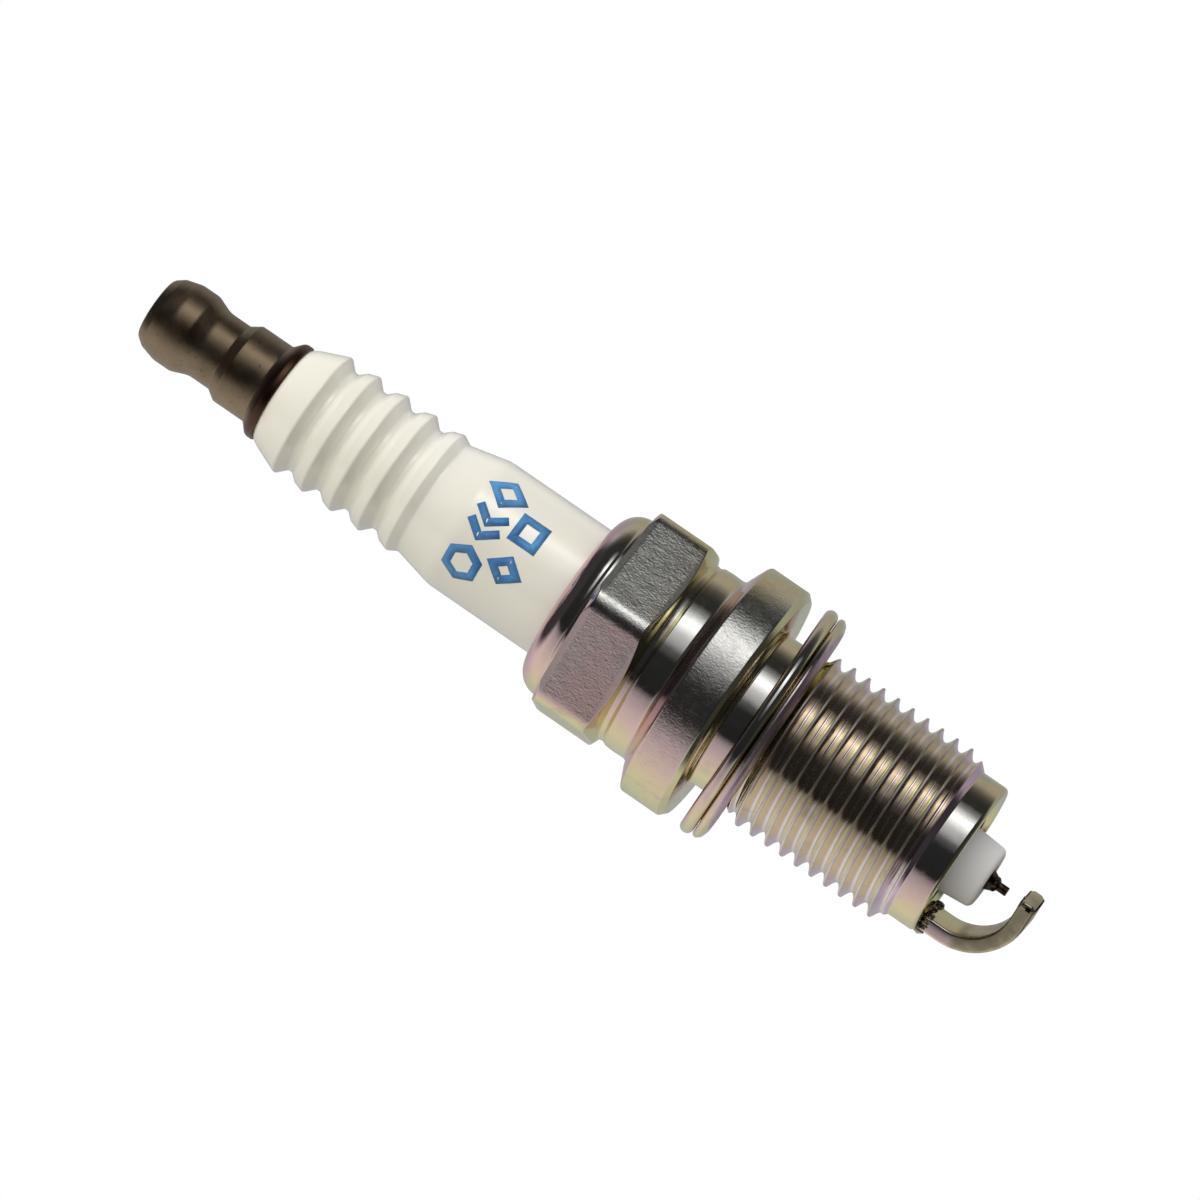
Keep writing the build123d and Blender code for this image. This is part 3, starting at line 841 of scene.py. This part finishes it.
def nickel():
    """The strap's bare alloy, and at its foot the plating that the shell's bath left on it."""
    m = Material("bare_nickel_alloy")
    height = m.millimetres()[1]
    drawn = m.noise(m.scaled(150, 3500, 150), 1.0, 3.0, 0.6)
    patch = m.noise(m.scaled(1, 1, 1), 700.0, 4.0, 0.6)
    bare = m.mix(m.span(patch, 0.3, 0.7), colour(208, 194, 162), colour(180, 168, 142))
    plated = m.span(height, *STRAP_PLATING_ENDS_Z)
    # the plated foot takes the plating's hue with its painted sheen
    m.set(Base_Color=m.mix(plated, bare, plating_tint_and_painted_sheen(m)), Metallic=1.0)
    worn = m.span(patch, 0.3, 0.7, 0.24, 0.38)
    m.set(Roughness=m.math("SUBTRACT", worn, m.math("MULTIPLY", plated, 0.14)))
    m.set(Normal=m.bump(drawn, 0.004, 0.6, m.bump(patch, 0.01, 0.5)))
    return m.material


def weld_metal():
    """Bright crusted metal at the weld."""
    m = Material("weld_metal")
    crust = m.noise(m.scaled(1, 1, 1), 5200.0, 4.0, 0.6)
    patch = m.noise(m.scaled(1, 1, 1), 2200.0, 3.0, 0.6)
    m.set(Base_Color=m.mix(m.span(patch, 0.4, 0.6), colour(216, 208, 190), colour(120, 112, 98)))
    m.set(Metallic=1.0, Roughness=m.span(crust, 0.3, 0.7, 0.16, 0.4), Normal=m.bump(crust, 0.04, 1.0))
    return m.material


def burnt_tip():
    """Dark, heat-marked precious metal and weld at the fine tip."""
    m = Material("fine_tip_metal")
    patch = m.noise(m.scaled(1, 1, 1), 3200.0, 4.0, 0.6)
    m.set(Base_Color=m.mix(m.span(patch, 0.42, 0.68), colour(50, 40, 32), colour(112, 98, 80)))
    m.set(Metallic=1.0, Roughness=m.span(patch, 0.3, 0.7, 0.28, 0.45), Normal=m.bump(patch, 0.04, 0.9))
    return m.material


def inner_stuff(name, tone, metallic, roughness):
    """For the sealed pieces, which show only when the plug is opened."""
    m = Material(name)
    patch = m.noise(m.scaled(1, 1, 1), 900.0, 4.0, 0.6)
    fine = m.noise(m.scaled(1, 1, 1), 3600.0, 3.0)
    darker = tuple(c * 0.7 for c in tone[:3]) + (1,)
    m.set(Base_Color=m.mix(patch, tone, darker), Metallic=metallic)
    m.set(Roughness=m.span(fine, 0.3, 0.7, roughness, roughness + 0.12))
    m.set(Normal=m.bump(patch, 0.01, 0.5, m.bump(fine, 0.005, 0.6)))
    return m.material


# ---- studio -------------------------------------------------------------------------------


def make_camera():
    bearing, up = math.radians(CAMERA_BEARING), math.radians(CAMERA_ELEVATION)
    towards = Vector((math.cos(up) * math.cos(bearing), math.cos(up) * math.sin(bearing), math.sin(up)))
    axis = (Vector((0, 0, 1)) - towards * towards.z).normalized()
    level = axis.cross(towards)
    slope = math.radians(PLUG_SLOPE)
    right = level * math.sin(slope) - axis * math.cos(slope)
    above = level * math.cos(slope) + axis * math.sin(slope)
    data = bpy.data.cameras.new("camera")
    data.lens = data.sensor_width * CAMERA_DISTANCE / FRAME_WIDTH
    data.clip_start, data.clip_end = 0.05, 50.0
    camera = bpy.data.objects.new("camera", data)
    scene.collection.objects.link(camera)
    aim = right * FRAME_CENTRE[0] + above * FRAME_CENTRE[1]
    place = (aim + towards * CAMERA_DISTANCE) * MM
    camera.matrix_world = Matrix.Translation(place) @ Matrix((right, above, towards)).transposed().to_4x4()
    scene.camera = camera


# what the plug reflects, by bearing from the camera towards the strap's side, as grey levels
SURROUND = [
    (-180, 0.42),
    (-145, 0.40),
    (-128, 0.46),
    (-118, 0.43),
    (-110, 0.27),
    (-103, 0.14),
    (-96, 0.07),
    (-86, 0.035),
    (42, 0.02),
    (51, 0.35),
    (57, 0.46),
    (75, 0.64),
    (96, 0.76),
    (120, 0.78),
    (150, 0.62),
    (180, 0.42),
]
# a softbox that is brightest near one edge and fades towards the other
SOFTBOX = [
    (-72, 0.0),
    (-62, 0.3),
    (-55, 0.9),
    (-46, 1.9),
    (-39, 1.35),
    (-30, 0.7),
    (-18, 0.42),
    (-11, 0.1),
    (0, 0.0),
]
SOFTBOX_ELEVATIONS = (-11, 22)
SHADE_BEARINGS, SHADE = (30, 150), (0.42, 0.40, 0.31, 1)  # the dimmer side of the room
STEEP_ELEVATIONS, STEEP_LEVEL = (44, 60), 0.05  # towards the zenith and nadir it is dark
ROOM_LOW, ROOM_HIGH = 0.38, 1.68  # the room's strength from below and from above
FLOOR_RADIUS, FLOOR_HEIGHT = 4.0, -0.35  # metres


def make_world():
    """A soft white room for matt surfaces, and for glossy ones a studio with dark flags."""
    world = bpy.data.worlds.new("studio")
    world.use_nodes = True
    scene.world = world
    world.node_tree.nodes.clear()
    n = Nodes(world.node_tree)

    def grey(level):
        return (level, level, level, 1)

    direction = n.node("ShaderNodeTexCoord").outputs["Generated"]
    # the turn puts the direction from the plug to the camera on +X, where the bearing is 0
    turn = n.node("ShaderNodeVectorRotate", {"rotation_type": "Z_AXIS"}, Vector=direction,
                  Angle=-math.radians(CAMERA_BEARING))
    x, y, z = n.axes(turn.outputs[0])
    bearing = n.math("MULTIPLY", n.math("ARCTAN2", y, x), -math.degrees(1))
    elevation = n.math("MULTIPLY", n.math("ARCSINE", z), math.degrees(1))

    def bands(levels):
        return n.ramp(bearing, [(at, grey(level)) for at, level in levels])

    steep = n.span(n.math("ABSOLUTE", elevation), *STEEP_ELEVATIONS)
    surround = n.mix(steep, bands(SURROUND), grey(STEEP_LEVEL))
    reflected = n.mix(n.window(elevation, *SOFTBOX_ELEVATIONS, 8), surround, bands(SOFTBOX), "ADD")
    studio = n.node("ShaderNodeBackground", Color=reflected)
    shade = n.window(bearing, *SHADE_BEARINGS, 30)
    room = n.node("ShaderNodeBackground", Color=n.mix(shade, grey(1.0), SHADE),
                  Strength=n.span(z, -1.0, 1.0, ROOM_LOW, ROOM_HIGH))
    white = n.node("ShaderNodeBackground", Color=grey(1.0))
    rays = n.node("ShaderNodeLightPath").outputs
    lit = n.node("ShaderNodeMixShader", Fac=rays["Is Diffuse Ray"])
    seen = n.node("ShaderNodeMixShader", Fac=rays["Is Camera Ray"])
    for mixer, first, second in ((lit, studio, room), (seen, lit, white)):
        n.feed(mixer.inputs[1], first.outputs[0])
        n.feed(mixer.inputs[2], second.outputs[0])
    output = n.node("ShaderNodeOutputWorld")
    n.feed(output.inputs["Surface"], seen.outputs[0])


def make_floor():
    """A wide pale floor well below the plug, kept out of its reflections and its soft light."""
    m = Material("pale_floor")
    grain = m.noise(m.scaled(1, 1, 1), 30.0, 3.0)
    m.set(Base_Color=m.mix(grain, colour(236, 236, 236), colour(242, 242, 242)), Roughness=0.8)
    mesh_builder = bmesh.new()
    bmesh.ops.create_circle(mesh_builder, cap_ends=True, segments=96, radius=FLOOR_RADIUS)
    mesh = bpy.data.meshes.new("floor")
    mesh_builder.to_mesh(mesh)
    mesh_builder.free()
    mesh.materials.append(m.material)
    floor = bpy.data.objects.new("floor", mesh)
    floor.location.z = FLOOR_HEIGHT
    floor.visible_glossy = floor.visible_diffuse = False
    scene.collection.objects.link(floor)


# ---- make everything ----------------------------------------------------------------------

make_camera()
make_world()
make_floor()

plated = plating()
ceramic = glaze()
burnt = burnt_tip()

make_shell(plated)
make_gasket(plated)
lathe("ceramic_insulator", insulator_corners(), ceramic, "insulator")
lathe("terminal_post", terminal_corners(), dark_bronze(), "terminal")
make_marks(ink())
make_sheath(burnt)
make_strap(nickel())
make_weld_flash(weld_metal())

ring_steel = inner_stuff("packing_steel", colour(170, 168, 165), 1.0, 0.3)
seal_glass = inner_stuff("seal_glass", colour(74, 66, 60), 0.3, 0.35)
FINISHES = {
    "iridium_tip": burnt,
    "platinum_chip": inner_stuff("platinum", colour(196, 192, 186), 1.0, 0.25),
    "centre_electrode_core": inner_stuff("copper", colour(200, 130, 95), 1.0, 0.28),
    "packing_washer": ring_steel,
    "lower_packing_ring": ring_steel,
    "upper_packing_ring": ring_steel,
    "upper_glass_seal": seal_glass,
    "lower_glass_seal": seal_glass,
    "resistor": inner_stuff("resistor_ceramic", colour(60, 58, 56), 0.0, 0.6),
    "talc_seal": inner_stuff("talc", colour(206, 204, 196), 0.0, 0.8),
}
for name, finish in FINISHES.items():
    nodes[name].data.materials.clear()
    nodes[name].data.materials.append(finish)

scene.view_settings.view_transform = "Standard"
